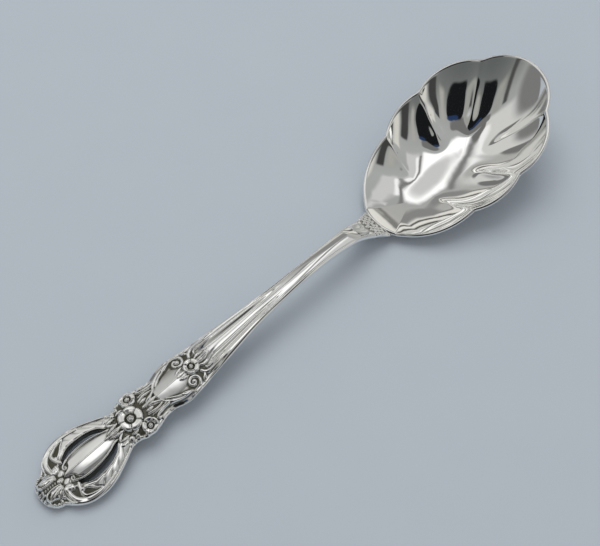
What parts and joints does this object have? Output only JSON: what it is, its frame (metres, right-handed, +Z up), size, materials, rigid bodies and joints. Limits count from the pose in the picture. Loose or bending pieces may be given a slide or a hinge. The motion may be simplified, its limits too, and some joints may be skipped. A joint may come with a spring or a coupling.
{
  "type": "sugar spoon",
  "caption": "Silver sugar spoon with a fluted, scalloped shell bowl and an arched stem that ends in a pierced handle with raised blossoms and scrolls.",
  "frame": {"origin": "centre of the bounding box in plan, on the surface the spoon lies on", "axes": "+X from the handle's tip to the bowl's tip, +Y to the left, +Z up out of the bowl"},
  "size_m": [0.1544, 0.0358, 0.0182],
  "materials": {
    "polished_silver": "mirror-polished silver plate with fine wear lines",
    "struck_silver": "polished silver plate, darkened in the recesses of the relief"
  },
  "bodies": {
    "root": {"bowl": "polished_silver", "handle": "struck_silver"}
  },
  "joints": []
}
